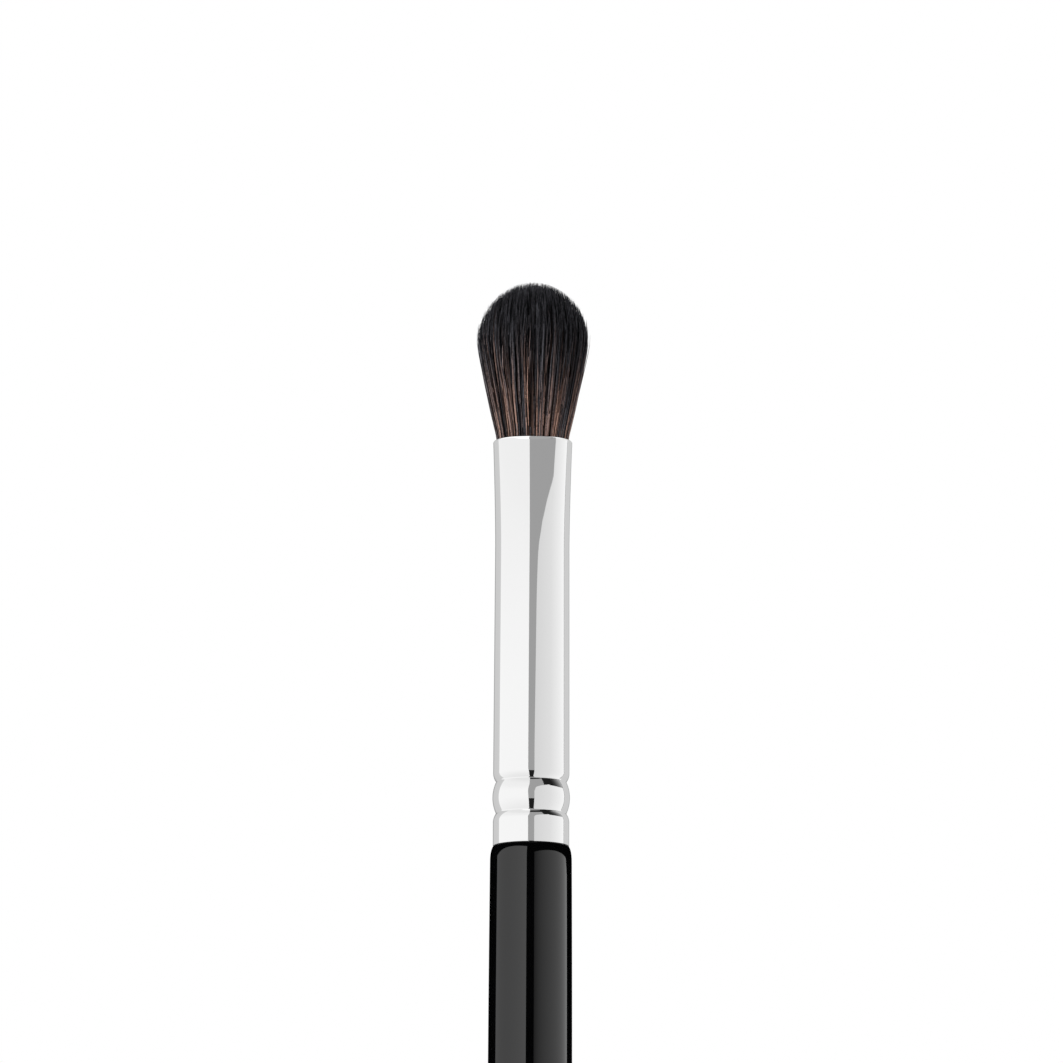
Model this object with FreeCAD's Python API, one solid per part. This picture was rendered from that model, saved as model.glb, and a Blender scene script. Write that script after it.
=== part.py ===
import FreeCAD, Part

import math
import os

# Eyeshadow brush, upright, hair at the top. All sizes in millimetres.
# The origin lies on the axis, in the middle of the grip, the widest stretch of the handle.
# X runs across the wide side of the hair, Y across its thin side.
# Heights below are counted from the shoulder, the face of the handle that the metal tube stands on.

# Handle: turned wood under a dipped black coat
handle_length = 120.0
shoulder_diameter = 8.1
shoulder_round_width = 0.4
shoulder_round_height = 1.5
grip_diameter = 8.3
grip_length = 12.0
grip_below_shoulder = 36.0
handle_end_diameter = 5.6
coat_thickness = 0.15

# Tenon of the handle inside the metal tube
tenon_length = 11.0
tenon_chamfer = 0.8
glue_thickness = 0.08

# Metal tube, round at the handle and pressed to an oval at the mouth, with a straight round bore
ferrule_length = 40.9
ferrule_base_diameter = 7.56
ferrule_taper = 0.15
ferrule_wall = 0.3
mouth_width = 7.92
mouth_depth = 6.66
pressed_length = 11.0
pressed_curve_power = 1.6
pressed_steps = 5
oval_front_half_angle = math.radians(12.0)
lip_round_share = 0.6

# Two crimp grooves rolled through the tube into the tenon, with a bead between them
lower_crimp_height = 3.25
crimp_spacing = 3.15
crimp_depth = 0.28
crimp_root_radius = 0.15
crimp_edge_radius = 1.4
bead_rise = 0.06

# Hair outside the tube
hair_length_out = 16.2
hair_widest_height = 10.1
hair_width = 11.18
hair_depth = 9.4
hair_flare_power = 1.25
hair_flare_steps = 7
hair_dome_steps = 9
hair_clearance = 0.08

# Hair roots inside the tube, tied with thread and set in resin
root_spread_length = 3.0
thread_diameter = 0.25
thread_turns = 8
tie_squeeze = 0.15
tie_slope_length = 0.6
tie_above_resin = 0.9
root_set_length = 4.0
resin_wall = 0.4
resin_floor = 1.5

# Heights that follow from the sizes above
grip_middle_height = -grip_below_shoulder
grip_top_height = grip_middle_height + grip_length / 2
grip_bottom_height = grip_middle_height - grip_length / 2
pressed_start_height = ferrule_length - pressed_length
upper_crimp_height = lower_crimp_height + crimp_spacing
bead_height = (lower_crimp_height + upper_crimp_height) / 2
neck_slope_top_height = pressed_start_height - root_spread_length
tie_top_height = neck_slope_top_height - tie_slope_length
tie_bottom_height = tie_top_height - thread_turns * thread_diameter
neck_slope_foot_height = tie_bottom_height - tie_slope_length
resin_top_height = tie_bottom_height - tie_above_resin
root_bottom_height = resin_top_height - root_set_length
resin_bottom_height = root_bottom_height - resin_floor

# Radii that follow from the sizes above
shoulder_radius = shoulder_diameter / 2
grip_radius = grip_diameter / 2
end_radius = handle_end_diameter / 2
base_radius = ferrule_base_diameter / 2
waist_radius = (ferrule_base_diameter - ferrule_taper) / 2
bore_radius = waist_radius - ferrule_wall
root_radius = bore_radius - resin_wall
tie_radius = root_radius - tie_squeeze
tenon_radius = bore_radius - glue_thickness
hair_radius = bore_radius - hair_clearance
hair_inset = ferrule_wall + hair_clearance
lip_radius = ferrule_wall * lip_round_share

# Circles of the crimp: the groove roots, the bead, and the rounded edges above and below
crimp_root_x = base_radius - crimp_depth + crimp_root_radius
bead_peak_radius = base_radius + bead_rise
bead_root_step = bead_peak_radius - crimp_root_x
bead_radius = ((crimp_spacing / 2) ** 2 + bead_root_step ** 2 - crimp_root_radius ** 2) / (
    2 * (crimp_root_radius + bead_root_step)
)
bead_x = bead_peak_radius - bead_radius
crimp_edge_x = base_radius - crimp_edge_radius
crimp_edge_to_root = crimp_edge_radius + crimp_root_radius
crimp_edge_reach = math.sqrt(crimp_edge_to_root ** 2 - (crimp_root_x - crimp_edge_x) ** 2)
crimp_top_height = upper_crimp_height + crimp_edge_reach
crimp_bottom_height = lower_crimp_height - crimp_edge_reach

# Directions in the plane of a profile
outward = FreeCAD.Vector(1, 0, 0)
downward = FreeCAD.Vector(0, 0, -1)


def point(radius, height):
    """Point of a profile in the plane of X and Z."""
    return FreeCAD.Vector(radius, 0, height)


def line(start, end):
    """Straight edge of a profile."""
    return Part.makeLine(start, end)


def arc(start, middle, end):
    """Round edge of a profile through three points."""
    return Part.Arc(start, middle, end).toShape()


def bent(start, corner, end):
    """Bending edge that leaves its start towards the corner and comes to its end from the corner."""
    curve = Part.BezierCurve()
    curve.setPoles([start, corner, end])
    return curve.toShape()


def turned(edges):
    """Solid turned about the Z axis from the edges of a closed profile, given in order."""
    profile = Part.Face(Part.Wire(edges))
    return profile.revolve(FreeCAD.Vector(0, 0, 0), FreeCAD.Vector(0, 0, 1), 360)


def polygon_edges(points):
    """Straight edges from each point to the next."""
    return [line(start, end) for start, end in zip(points, points[1:])]


def toward(start_x, start_height, end_x, end_height):
    """Unit direction from one circle's centre to another's."""
    return FreeCAD.Vector(end_x - start_x, 0, end_height - start_height).normalize()


def on_circle(centre_x, centre_height, radius, direction):
    """Point on a circle of the profile, in the given direction from its centre."""
    return point(centre_x, centre_height) + direction * radius


def upside_down(direction):
    """The same direction with up and down exchanged."""
    return FreeCAD.Vector(direction.x, direction.y, -direction.z)


def half_way(first, second):
    """Unit direction half way between two others."""
    return (first + second).normalize()


def outside_crimp_edges():
    """Outer edges of the crimp from bottom to top: rounded edges, groove roots and the bead, all tangent."""
    edge_to_root = toward(crimp_edge_x, crimp_bottom_height, crimp_root_x, lower_crimp_height)
    bead_to_root = toward(bead_x, bead_height, crimp_root_x, lower_crimp_height)
    edge_middle = half_way(edge_to_root, outward)
    groove_radius = base_radius - crimp_depth
    bottom = point(base_radius, crimp_bottom_height)
    top = point(base_radius, crimp_top_height)
    lower_edge_middle = on_circle(crimp_edge_x, crimp_bottom_height, crimp_edge_radius, edge_middle)
    lower_edge_end = on_circle(crimp_edge_x, crimp_bottom_height, crimp_edge_radius, edge_to_root)
    lower_bead_end = on_circle(bead_x, bead_height, bead_radius, bead_to_root)
    upper_bead_end = on_circle(bead_x, bead_height, bead_radius, upside_down(bead_to_root))
    upper_edge_end = on_circle(crimp_edge_x, crimp_top_height, crimp_edge_radius, upside_down(edge_to_root))
    upper_edge_middle = on_circle(crimp_edge_x, crimp_top_height, crimp_edge_radius, upside_down(edge_middle))
    return [
        arc(bottom, lower_edge_middle, lower_edge_end),
        arc(lower_edge_end, point(groove_radius, lower_crimp_height), lower_bead_end),
        arc(lower_bead_end, point(bead_peak_radius, bead_height), upper_bead_end),
        arc(upper_bead_end, point(groove_radius, upper_crimp_height), upper_edge_end),
        arc(upper_edge_end, upper_edge_middle, top),
    ]


def inside_crimp_points():
    """Points of the tube's inner wall, from the shoulder to the top of the crimp."""
    return [
        point(bore_radius, 0),
        point(bore_radius, crimp_bottom_height),
        point(bore_radius - crimp_depth, lower_crimp_height),
        point(bore_radius + bead_rise, bead_height),
        point(bore_radius - crimp_depth, upper_crimp_height),
        point(bore_radius, crimp_top_height),
    ]


def turned_tube():
    """Round stretch of the tube: the foot, the crimp, and a wall that thins slowly towards the waist."""
    foot_bottom = point(base_radius, 0)
    foot_top = point(base_radius, crimp_bottom_height)
    taper_foot = point(base_radius, crimp_top_height)
    taper_top = point(waist_radius, pressed_start_height)
    bore_top = point(bore_radius, pressed_start_height)
    rest = polygon_edges([taper_foot, taper_top, bore_top] + inside_crimp_points()[::-1] + [foot_bottom])
    return turned([line(foot_bottom, foot_top)] + outside_crimp_edges() + rest)


def oval_wire(half_width, half_depth, height):
    """Level oval of four arcs that run into each other, flatter at front and back than at the sides."""
    sine = math.sin(oval_front_half_angle)
    cosine = math.cos(oval_front_half_angle)
    front_radius = (half_width * cosine - half_depth * (1 - sine)) / (sine + cosine - 1)
    side_radius = (half_depth - front_radius * (1 - cosine)) / cosine
    join_x = front_radius * sine
    join_y = side_radius * cosine
    right_back = FreeCAD.Vector(join_x, join_y, height)
    left_back = FreeCAD.Vector(-join_x, join_y, height)
    left_front = FreeCAD.Vector(-join_x, -join_y, height)
    right_front = FreeCAD.Vector(join_x, -join_y, height)
    return Part.Wire([
        arc(right_back, FreeCAD.Vector(0, half_depth, height), left_back),
        arc(left_back, FreeCAD.Vector(-half_width, 0, height), left_front),
        arc(left_front, FreeCAD.Vector(0, -half_depth, height), right_front),
        arc(right_front, FreeCAD.Vector(half_width, 0, height), right_back),
    ])


def pressed_sections(inset):
    """Ovals by the inset inside the pressed stretch of the tube, from the round waist to the mouth."""
    sections = []
    for step in range(pressed_steps + 1):
        share = step / pressed_steps
        pressed = share ** pressed_curve_power
        half_width = waist_radius + (mouth_width / 2 - waist_radius) * pressed - inset
        half_depth = waist_radius + (mouth_depth / 2 - waist_radius) * pressed - inset
        sections.append(oval_wire(half_width, half_depth, pressed_start_height + pressed_length * share))
    return sections


def at_mouth(edge):
    """True for an edge that lies in the plane of the mouth."""
    box = edge.BoundBox
    return max(abs(box.ZMin - ferrule_length), abs(box.ZMax - ferrule_length)) < lip_radius


def make_ferrule():
    """Plated tube: a turned wall with the crimp, a pressed oval mouth, and a rounded lip."""
    outside = Part.makeLoft(pressed_sections(0), True, True)
    inside = Part.makeLoft(pressed_sections(ferrule_wall), True, True)
    lip_edges = [edge for edge in outside.Edges if at_mouth(edge)]
    return turned_tube().fuse(outside.makeFillet(lip_radius, lip_edges).cut(inside))


def swell_edge(inset, top_height):
    """Edge from below the shoulder out to the widest radius, moved inwards by the inset."""
    foot = point(shoulder_radius - inset, -shoulder_round_height)
    corner = point(grip_radius - inset, (top_height - shoulder_round_height) / 2)
    return bent(foot, corner, point(grip_radius - inset, top_height))


def taper_edges(inset, start_height):
    """Long tapering arc from the widest radius and the round end that it runs into, moved inwards."""
    wide = grip_radius - inset
    narrow = end_radius - inset
    end_centre_height = -handle_length + end_radius
    drop = start_height - end_centre_height
    taper_radius = (wide ** 2 + drop ** 2 - narrow ** 2) / (2 * (wide - narrow))
    taper_x = wide - taper_radius
    taper_to_end = toward(taper_x, start_height, 0, end_centre_height)
    taper_middle = on_circle(taper_x, start_height, taper_radius, half_way(taper_to_end, outward))
    taper_end = on_circle(0, end_centre_height, narrow, taper_to_end)
    end_middle = on_circle(0, end_centre_height, narrow, half_way(taper_to_end, downward))
    return [
        arc(point(wide, start_height), taper_middle, taper_end),
        arc(taper_end, end_middle, point(0, -handle_length + inset)),
    ]


def wood_skin_edges():
    """Edges of the bare wood from the tenon's foot down to the end, widest in the middle of the grip."""
    tenon_foot = point(bore_radius, -coat_thickness)
    chamfer_top = point(shoulder_radius - shoulder_round_width, -coat_thickness)
    chamfer_foot = point(shoulder_radius - coat_thickness, -shoulder_round_height)
    shoulder = polygon_edges([tenon_foot, chamfer_top, chamfer_foot])
    swell = swell_edge(coat_thickness, grip_middle_height)
    return shoulder + [swell] + taper_edges(coat_thickness, grip_middle_height)


def coat_skin_edges():
    """Edges of the lacquer's outside from the tube down to the end, polished straight along the grip."""
    round_top = point(shoulder_radius - shoulder_round_width, 0)
    round_foot = point(shoulder_radius, -shoulder_round_height)
    round_centre = point(shoulder_radius - shoulder_round_width, -shoulder_round_height)
    shoulder_round = Part.ArcOfEllipse(Part.Ellipse(round_top, round_foot, round_centre), 0, math.pi / 2)
    shoulder = [line(point(bore_radius, 0), round_top), shoulder_round.toShape()]
    grip = line(point(grip_radius, grip_top_height), point(grip_radius, grip_bottom_height))
    return shoulder + [swell_edge(0, grip_top_height), grip] + taper_edges(0, grip_bottom_height)


def make_handle_core():
    """Turned wooden handle: a long taper, a shoulder, and a tenon grooved where the tube is crimped."""
    tenon = polygon_edges([point(bore_radius, -coat_thickness)] + inside_crimp_points() + [
        point(tenon_radius, crimp_top_height),
        point(tenon_radius, tenon_length - tenon_chamfer),
        point(tenon_radius - tenon_chamfer, tenon_length),
        point(0, tenon_length),
        point(0, -handle_length + coat_thickness),
    ])
    return turned(wood_skin_edges()[::-1] + tenon)


def make_lacquer_coat():
    """Black gloss skin on the handle, open where the tenon comes out."""
    tip = line(point(0, -handle_length), point(0, -handle_length + coat_thickness))
    rim = line(point(bore_radius, -coat_thickness), point(bore_radius, 0))
    return turned(coat_skin_edges() + [tip] + wood_skin_edges()[::-1] + [rim])


def make_tenon_glue():
    """Film of adhesive between tenon and tube, above the crimp that squeezes the two together."""
    top_height = tenon_length - tenon_chamfer
    return turned(polygon_edges([
        point(tenon_radius, crimp_top_height),
        point(bore_radius, crimp_top_height),
        point(bore_radius, top_height),
        point(tenon_radius, top_height),
        point(tenon_radius, crimp_top_height),
    ]))


def make_resin_plug():
    """Cured resin cup that fills the tube and holds the ends of the roots."""
    return turned(polygon_edges([
        point(0, resin_bottom_height),
        point(bore_radius, resin_bottom_height),
        point(bore_radius, resin_top_height),
        point(root_radius, resin_top_height),
        point(root_radius, root_bottom_height),
        point(0, root_bottom_height),
        point(0, resin_bottom_height),
    ]))


def make_binding_thread():
    """Band of thread wound tightly round the neck of the roots, one turn above the other."""
    return turned(polygon_edges([
        point(tie_radius, tie_bottom_height),
        point(tie_radius + thread_diameter, tie_bottom_height),
        point(tie_radius + thread_diameter, tie_top_height),
        point(tie_radius, tie_top_height),
        point(tie_radius, tie_bottom_height),
    ]))


def hair_head():
    """Hair above the round bore: it fills the mouth, flares to its widest and closes in a dome."""
    mouth_half_width = mouth_width / 2 - hair_inset
    mouth_half_depth = mouth_depth / 2 - hair_inset
    dome_height = hair_length_out - hair_widest_height
    sections = pressed_sections(hair_inset)
    for step in range(1, hair_flare_steps + 1):
        share = step / hair_flare_steps
        spread = 1 - (1 - share) ** hair_flare_power
        half_width = mouth_half_width + (hair_width / 2 - mouth_half_width) * spread
        half_depth = mouth_half_depth + (hair_depth / 2 - mouth_half_depth) * spread
        sections.append(oval_wire(half_width, half_depth, ferrule_length + hair_widest_height * share))
    for step in range(1, hair_dome_steps):
        angle = math.pi / 2 * step / hair_dome_steps
        height = ferrule_length + hair_widest_height + dome_height * math.sin(angle)
        sections.append(oval_wire(hair_width / 2 * math.cos(angle), hair_depth / 2 * math.cos(angle), height))
    sections.append(Part.Vertex(0, 0, ferrule_length + hair_length_out))
    return Part.makeLoft(sections, True, True)


def hair_roots():
    """Lower end of the hair inside the tube: set ends, tied neck, and the spread to the full bore."""
    return turned(polygon_edges([
        point(0, root_bottom_height),
        point(root_radius, root_bottom_height),
        point(root_radius, neck_slope_foot_height),
        point(tie_radius, tie_bottom_height),
        point(tie_radius, tie_top_height),
        point(root_radius, neck_slope_top_height),
        point(hair_radius, pressed_start_height),
        point(0, pressed_start_height),
        point(0, root_bottom_height),
    ]))


def make_hair_tuft():
    """Bundle of hair in one piece: roots inside the tube, and the domed head."""
    return hair_roots().fuse(hair_head())


def export_node(name, shape):
    """Write one piece, moved so that the middle of the grip lies at the origin."""
    shape.translate(FreeCAD.Vector(0, 0, grip_below_shoulder))
    shape.exportStep(os.path.join("parts", name + ".step"))
    print(name, "valid", shape.isValid(), "solids", len(shape.Solids), "volume %.1f" % shape.Volume)


os.makedirs("parts", exist_ok=True)
export_node("handle_core", make_handle_core())
export_node("lacquer_coat", make_lacquer_coat())
export_node("tenon_glue", make_tenon_glue())
export_node("ferrule", make_ferrule())
export_node("resin_plug", make_resin_plug())
export_node("binding_thread", make_binding_thread())
export_node("hair_tuft", make_hair_tuft())
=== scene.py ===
# %% [markdown]
# # An eyeshadow brush, dressed around its construction
# The frame holds the seven solids of the brush at their real size: handle, lacquer, glue, metal tube, resin,
# thread and hair. A solid drawn for construction has coarse facets and no finish, and its hair is one lump.
# So the tube and the lacquer get finer surfaces from the same formulas, the hair becomes thousands of
# strands, and the pieces inside the tube keep their solids and get materials.

# %% Load the frame
import math

import bpy
import numpy as np
from mathutils import Matrix, Vector


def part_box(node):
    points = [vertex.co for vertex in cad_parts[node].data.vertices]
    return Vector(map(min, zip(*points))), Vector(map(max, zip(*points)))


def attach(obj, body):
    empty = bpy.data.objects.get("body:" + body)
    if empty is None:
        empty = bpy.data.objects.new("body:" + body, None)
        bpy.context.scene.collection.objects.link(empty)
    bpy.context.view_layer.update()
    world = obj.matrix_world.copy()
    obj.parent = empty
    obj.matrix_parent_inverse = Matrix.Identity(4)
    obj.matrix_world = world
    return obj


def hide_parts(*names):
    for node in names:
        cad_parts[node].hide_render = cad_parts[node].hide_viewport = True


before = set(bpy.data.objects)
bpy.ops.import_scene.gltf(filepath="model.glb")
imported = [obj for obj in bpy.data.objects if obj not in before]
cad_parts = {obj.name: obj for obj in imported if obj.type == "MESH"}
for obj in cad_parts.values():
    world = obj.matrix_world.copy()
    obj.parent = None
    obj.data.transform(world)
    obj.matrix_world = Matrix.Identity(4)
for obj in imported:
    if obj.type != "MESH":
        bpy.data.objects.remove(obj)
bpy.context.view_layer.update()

MM = 0.001
foot_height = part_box("ferrule")[0].z / MM
mouth_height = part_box("ferrule")[1].z / MM
tip_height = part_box("hair_tuft")[1].z / MM
end_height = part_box("lacquer_coat")[0].z / MM
print("tube from %.1f to %.1f mm, hair to %.1f mm, handle from %.1f mm" % (
    foot_height, mouth_height, tip_height, end_height))

# %% [markdown]
# ## Two helpers for materials
# A colour is picked on a screen, so it is an sRGB value, but light adds up in linear values. One
# function changes the one into the other. A second one adds a node, sets its values and joins its inputs, so
# that a material below reads as a short list of steps.


# %% Colours and nodes
def linear_colour(hex_colour):
    """Linear colour of an sRGB hex value: a straight line near black, a power of 2.4 above it."""
    srgb = np.array([int(hex_colour[start:start + 2], 16) for start in (1, 3, 5)]) / 255
    linear = np.where(srgb <= 0.04045, srgb / 12.92, ((srgb + 0.055) / 1.055) ** 2.4)
    return (*linear.tolist(), 1.0)


def add_node(tree, kind, settings=None, links=None):
    """One node of a tree. A key names a property, or an input by its name or place."""
    node = tree.nodes.new(kind)
    for key, value in (settings or {}).items():
        if isinstance(key, int) or key in node.inputs:
            node.inputs[key].default_value = value
        else:
            setattr(node, key, value)
    for key, socket in (links or {}).items():
        tree.links.new(socket, node.inputs[key])
    return node


def new_material(name, surface):
    """A material of one Principled shader, with the values that are the same all over set on its sockets."""
    material = bpy.data.materials.new(name)
    material.use_nodes = True
    tree = material.node_tree
    tree.nodes.clear()
    shader = add_node(tree, "ShaderNodeBsdfPrincipled", surface)
    add_node(tree, "ShaderNodeOutputMaterial", links={"Surface": shader.outputs["BSDF"]})
    print("material", name)
    return material, tree, shader


# %% [markdown]
# ## From a formula to a mesh
# Every new piece is a function of two parameters, worked out as one array of points: rows along a profile,
# columns around it. The quads between the points are counted the same way for all of them. Where a row
# shrinks to the axis, the skin closes in a fan of triangles round one point.


# %% Grids and pieces
def grid_faces(rows, columns, closed_rows):
    """Corners of the quads between neighbours on a grid whose columns run round and meet again."""
    row = np.arange(rows if closed_rows else rows - 1)[:, None]
    column = np.arange(columns)[None, :]
    next_row = (row + 1) % rows
    next_column = (column + 1) % columns
    corners = (
        row * columns + column,
        row * columns + next_column,
        next_row * columns + next_column,
        next_row * columns + column,
    )
    return np.stack(np.broadcast_arrays(*corners), axis=-1).reshape(-1, 4)


def add_piece(name, points, faces, material):
    """Smooth mesh object at the origin, from points in millimetres and lists of corners."""
    mesh = bpy.data.meshes.new(name)
    mesh.from_pydata((points * MM).tolist(), [], faces)
    mesh.polygons.foreach_set("use_smooth", np.ones(len(mesh.polygons), bool))
    mesh.materials.append(material)
    mesh.update()
    piece = bpy.data.objects.new(name, mesh)
    bpy.context.scene.collection.objects.link(piece)
    print(name, len(mesh.vertices), "points", len(mesh.polygons), "faces")
    return piece


# %% [markdown]
# ## Camera
# The photograph looks slightly up at the brush from about 60 cm, through a long lens, so that the rims of the
# tube curve gently upwards in the middle. The lens makes one millimetre of brush ten pixels wide, and a
# roll of a quarter of a degree repeats the brush's slight lean.

# %% Set up the camera
photo_size = 1063
pixels_per_mm = 10.0
camera_distance = 620.0
camera_elevation = math.radians(-11.0)
camera_roll = math.radians(0.257)
camera_target = Vector((-0.088, 0.0, 67.76))

forward = Vector((0.0, math.cos(camera_elevation), -math.sin(camera_elevation)))
level_right = Vector((1.0, 0.0, 0.0))
level_up = level_right.cross(forward)
camera_right = level_right * math.cos(camera_roll) + level_up * math.sin(camera_roll)
camera_up = level_up * math.cos(camera_roll) - level_right * math.sin(camera_roll)
camera = bpy.data.objects.new("camera", bpy.data.cameras.new("camera"))
camera.data.lens = camera.data.sensor_width * pixels_per_mm * camera_distance / photo_size
turn = Matrix((camera_right, camera_up, -forward)).transposed()
camera.matrix_world = Matrix.Translation((camera_target - forward * camera_distance) * MM) @ turn.to_4x4()
bpy.context.scene.collection.objects.link(camera)
bpy.context.scene.camera = camera
bpy.context.scene.view_settings.view_transform = "Standard"
print("camera lens %.0f mm" % camera.data.lens)

# %% [markdown]
# ## Nickel-plated tube
# The tube is drawn brass with bright nickel on it, a mirror. In a mirror every facet shows, so the surface is
# computed again: a profile goes up the outside, over the lip and down the bore, and each of its points is
# carried round an oval. The oval is four arcs that run into each other. Its points are found by the direction
# that the wall faces there, which keeps the arcs smooth.

# %% Sizes of the tube, in millimetres
base_radius = 3.78
waist_radius = 3.705
wall = 0.3
bore_radius = waist_radius - wall
mouth_half_width = 3.96
mouth_half_depth = 3.33
pressed_length = 11.0
pressed_power = 1.6
front_half_angle = math.radians(12.0)
lip_radius = 0.18
cut_edge = 0.03
lower_groove_height = 3.25
groove_spacing = 3.15
groove_depth = 0.28
groove_root_radius = 0.15
groove_edge_radius = 1.4
bead_rise = 0.06
print("mouth %.2f by %.2f mm, wall %.2f mm" % (2 * mouth_half_width, 2 * mouth_half_depth, wall))


# %% The oval and the arcs of the profile
def oval_points(half_width, half_depth, height, facing):
    """Points of a four-arc oval, by the angle that the wall faces.

    Front and back are arcs about a centre on the depth axis, the sides arcs about a centre on the width axis.
    The radii follow from both arcs meeting, in line, where the wall faces away from the front by a set angle.
    """
    sine = math.sin(front_half_angle)
    cosine = math.cos(front_half_angle)
    front_radius = (half_width * cosine - half_depth * (1 - sine)) / (sine + cosine - 1)
    side_radius = (half_depth - front_radius * (1 - cosine)) / cosine
    across = np.cos(facing)
    deep = np.sin(facing)
    at_side = np.abs(across) > sine
    side_centre = np.sign(across) * (half_width - side_radius)
    front_centre = np.sign(deep) * (half_depth - front_radius)
    x = np.where(at_side, side_centre + side_radius * across, front_radius * across)
    y = np.where(at_side, side_radius * deep, front_centre + front_radius * deep)
    return np.stack([x, y, height + 0 * x], axis=-1)


def arc_points(centre, radius, start, end, count):
    """Points of an arc as radius and height: its centre plus its radius times the angle's cosine and sine."""
    angle = np.linspace(start, end, count)
    return np.stack([centre[0] + radius * np.cos(angle), centre[1] + radius * np.sin(angle)], axis=-1)


# %% Profile of the crimp: two grooves with a bead between them
edge_count = 20
root_count = 12
bead_count = 48

# Two arcs that bend opposite ways meet in line where their centres lie both radii apart. That gives the
# bead's radius, and how far the rounded edges reach beyond the grooves.
root_x = base_radius - groove_depth + groove_root_radius
bead_peak = base_radius + bead_rise
bead_step = bead_peak - root_x
bead_radius = ((groove_spacing / 2) ** 2 + bead_step ** 2 - groove_root_radius ** 2) / (
    2 * (groove_root_radius + bead_step))
bead_centre = (bead_peak - bead_radius, lower_groove_height + groove_spacing / 2)
edge_x = base_radius - groove_edge_radius
edge_reach = math.sqrt((groove_edge_radius + groove_root_radius) ** 2 - (root_x - edge_x) ** 2)
edge_angle = math.asin(edge_reach / (groove_edge_radius + groove_root_radius))
bead_angle = math.asin(groove_spacing / 2 / (bead_radius + groove_root_radius))
lower_root = (root_x, lower_groove_height)
upper_root = (root_x, lower_groove_height + groove_spacing)
lower_edge = (edge_x, lower_groove_height - edge_reach)
upper_edge = (edge_x, lower_groove_height + groove_spacing + edge_reach)
crimp = np.concatenate([
    arc_points(lower_edge, groove_edge_radius, 0, edge_angle, edge_count),
    arc_points(lower_root, groove_root_radius, math.pi + edge_angle, math.pi - bead_angle, root_count)[1:],
    arc_points(bead_centre, bead_radius, -bead_angle, bead_angle, bead_count)[1:],
    arc_points(upper_root, groove_root_radius, math.pi + bead_angle, math.pi - edge_angle, root_count)[1:],
    arc_points(upper_edge, groove_edge_radius, -edge_angle, 0, edge_count)[1:],
])
print("crimp from %.2f to %.2f mm above the shoulder" % (crimp[0, 1], crimp[-1, 1]))

# %% Profile of the tube: half width, half depth and height of each row
taper_count = 12
pressed_count = 30
lip_count = 12
inside_count = 16
tube_length = mouth_height - foot_height
pressed_start = tube_length - pressed_length


def pressed_rows(height, inset):
    """Rows of the pressed stretch: width and depth go from waist to mouth as a power of the height."""
    pressed = ((height - pressed_start) / pressed_length) ** pressed_power
    half_width = waist_radius + (mouth_half_width - waist_radius) * pressed - inset
    half_depth = waist_radius + (mouth_half_depth - waist_radius) * pressed - inset
    return np.stack([half_width, half_depth, height], axis=-1)


def round_rows(radius, height):
    """Rows whose oval is a circle."""
    return np.stack([radius, radius, height], axis=-1)


taper_share = np.linspace(0, 1, taper_count)[1:]
taper = round_rows(base_radius + (waist_radius - base_radius) * taper_share,
                   crimp[-1, 1] + (pressed_start - crimp[-1, 1]) * taper_share)
pressed_outside = pressed_rows(np.linspace(pressed_start, tube_length - lip_radius, pressed_count)[1:], 0)
lip_angle = np.linspace(0, math.pi / 2, lip_count)[1:]
lip_inset = lip_radius * (1 - np.cos(lip_angle))
lip = pressed_rows(np.full(lip_angle.shape, tube_length), 0) - lip_inset[:, None]
lip[:, 2] = tube_length - lip_radius + lip_radius * np.sin(lip_angle)
lip_inside = pressed_rows(np.array([tube_length, tube_length - cut_edge / 3]), wall)
lip_inside[:, :2] += np.array([[cut_edge], [cut_edge / 3]])
pressed_inside = pressed_rows(np.linspace(tube_length - cut_edge, pressed_start, inside_count), wall)
bore = round_rows(np.array([bore_radius, bore_radius]), np.array([pressed_start / 2, 0.0]))
foot = round_rows(base_radius - np.array([cut_edge, cut_edge / 3, 0, 0, 0]),
                  np.array([0, cut_edge / 3, cut_edge, 2 * cut_edge, lower_edge[1] / 2]))
tube_rows = np.concatenate([
    foot, round_rows(crimp[:, 0], crimp[:, 1]), taper, pressed_outside,
    lip, lip_inside, pressed_inside, bore])
print("tube profile of", len(tube_rows), "rows")

# %% [markdown]
# ## Bright nickel
# Plated nickel is a slightly grey mirror: about three fifths of the light comes back. Polishing leaves it
# almost smooth. A trace of uneven gloss keeps it from looking like a computed mirror. It lies in rings round
# the tube, as a polishing wheel leaves them, but drawn coarser than real ones so that they can show.

# %% Nickel material
nickel_colour = "#cdcdcd"
nickel_roughness = (0.02, 0.045)
polish_ring_mm = 0.4
polish_ring_stretch = 8

nickel, tree, shader = new_material("bright_nickel_plate", {
    "Base Color": linear_colour(nickel_colour), "Metallic": 1.0})
coordinates = add_node(tree, "ShaderNodeTexCoord")
ring_scale = 1 / (polish_ring_mm * MM)
across_scale = ring_scale / polish_ring_stretch
rings = add_node(tree, "ShaderNodeMapping", {"Scale": (across_scale, across_scale, ring_scale)},
                 {"Vector": coordinates.outputs["Object"]})
polish = add_node(tree, "ShaderNodeTexNoise", {"Scale": 1.0, "Detail": 2.0},
                  {"Vector": rings.outputs["Vector"]})
gloss = add_node(tree, "ShaderNodeMapRange", {"To Min": nickel_roughness[0], "To Max": nickel_roughness[1]},
                 {"Value": polish.outputs["Fac"]})
tree.links.new(gloss.outputs["Result"], shader.inputs["Roughness"])

# %% The tube as a piece
tube_columns = 288
facing = np.linspace(0, 2 * math.pi, tube_columns, endpoint=False)[None, :]
tube_points = oval_points(tube_rows[:, :1], tube_rows[:, 1:2], tube_rows[:, 2:] + foot_height, facing)
tube_faces = grid_faces(len(tube_rows), tube_columns, closed_rows=True)
tube = add_piece("nickel_ferrule", tube_points.reshape(-1, 3), tube_faces.tolist(), nickel)
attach(tube, "root")
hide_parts("ferrule")

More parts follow.
